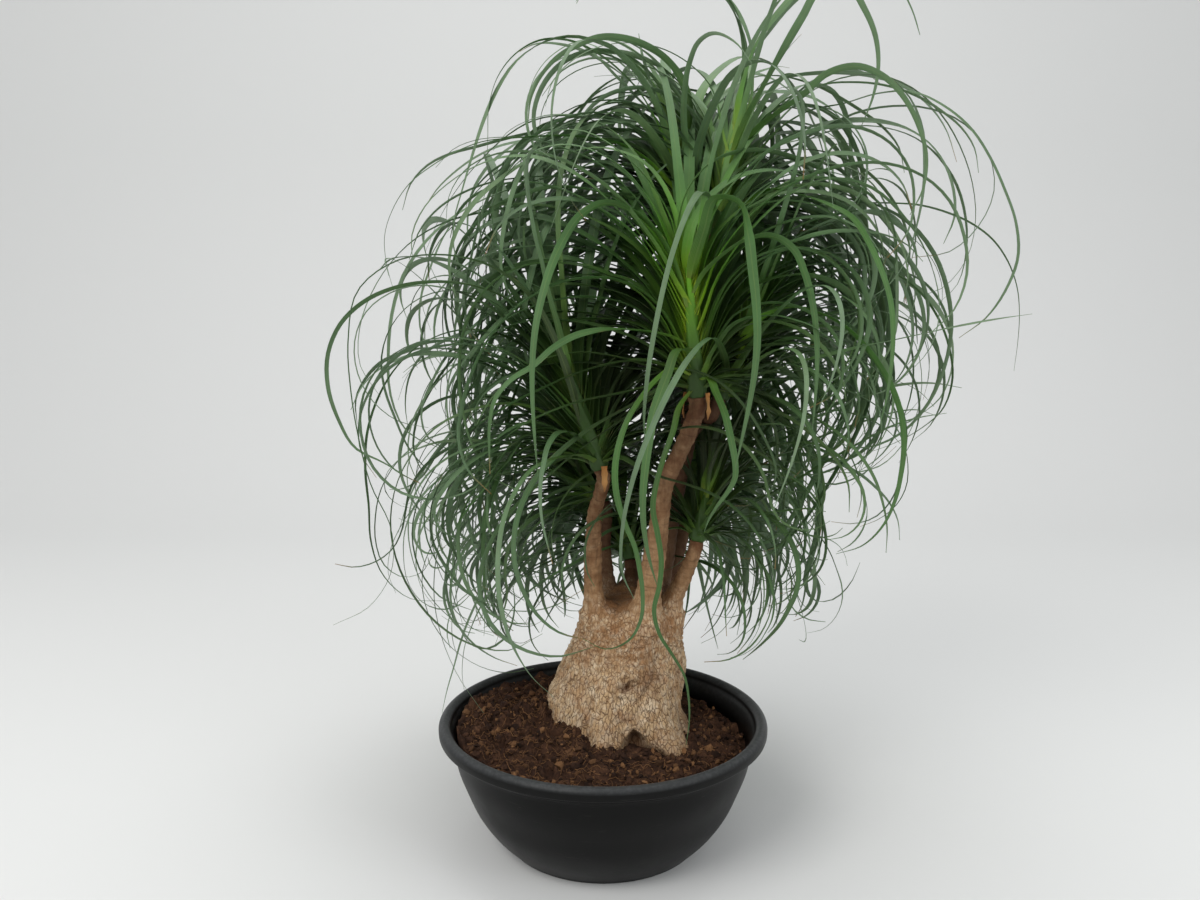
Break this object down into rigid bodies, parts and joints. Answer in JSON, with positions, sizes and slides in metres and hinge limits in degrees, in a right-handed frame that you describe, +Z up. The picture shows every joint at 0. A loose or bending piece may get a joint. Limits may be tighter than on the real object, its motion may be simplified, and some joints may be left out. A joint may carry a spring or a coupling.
{
  "type": "potted ponytail palm",
  "caption": "Ponytail palm in a round black nursery bowl: swollen cracked bark foot, slender stems and crowns of long arching, curling strap leaves.",
  "frame": {"origin": "centre of the bowl's flat underside", "axes": "+Z up, +X to the right of the pictured front, +Y to the rear"},
  "size_m": [0.822, 0.7563, 1.0395],
  "materials": {
    "bowl_plastic": "black moulded plastic, satin, faintly scuffed",
    "peat_soil": "loose dark peat mix with fibres, matt",
    "foot_bark": "tan corky bark cracked into small plates, matt",
    "stem_bark": "tan-brown bark with fine rings, matt",
    "leaf_green": "supple strap leaf, yellow-green at the heart to bluish green at the tip, soft sheen",
    "dry_leaf": "dry orange-brown leaf remains, matt"
  },
  "bodies": {
    "root": {"caudex": "foot_bark", "crown_front": "leaf_green", "crown_left": "leaf_green", "crown_rear": "leaf_green", "crown_rear_left": "leaf_green", "crown_rear_right": "leaf_green", "crown_right": "leaf_green", "crown_right_low": "leaf_green", "crown_top_left": "leaf_green", "crown_top_right": "leaf_green", "dry_scrap_front_1": "dry_leaf", "dry_scrap_front_2": "dry_leaf", "dry_scrap_left_1": "dry_leaf", "leaf_front_01": "leaf_green", "leaf_front_02": "leaf_green", "leaf_front_05": "leaf_green", "leaf_front_06": "leaf_green", "leaf_front_07": "leaf_green", "leaf_front_08": "leaf_green", "leaf_front_09": "leaf_green", "leaf_front_10": "leaf_green", "leaf_left_16": "leaf_green", "leaf_left_17": "leaf_green", "leaf_left_18": "leaf_green", "leaf_left_25": "leaf_green", "leaf_rear_left_24": "leaf_green", "leaf_rear_right_27": "leaf_green", "leaf_right_04": "leaf_green", "leaf_right_26": "leaf_green", "leaf_top_left_13": "leaf_green", "leaf_top_left_14": "leaf_green", "leaf_top_left_15": "leaf_green", "leaf_top_right_03": "leaf_green", "leaf_top_right_19": "leaf_green", "leaf_top_right_20": "leaf_green", "leaf_top_right_21": "leaf_green", "leaf_top_right_22": "leaf_green", "leaf_top_right_23": "leaf_green", "planter_bowl": "bowl_plastic", "potting_soil": "peat_soil", "stem_centre": "stem_bark", "stem_left": "stem_bark", "stem_rear": "stem_bark", "stem_rear_left": "stem_bark", "stem_rear_right": "stem_bark", "stem_rear_short": "stem_bark", "stem_right": "stem_bark"}
  },
  "joints": []
}
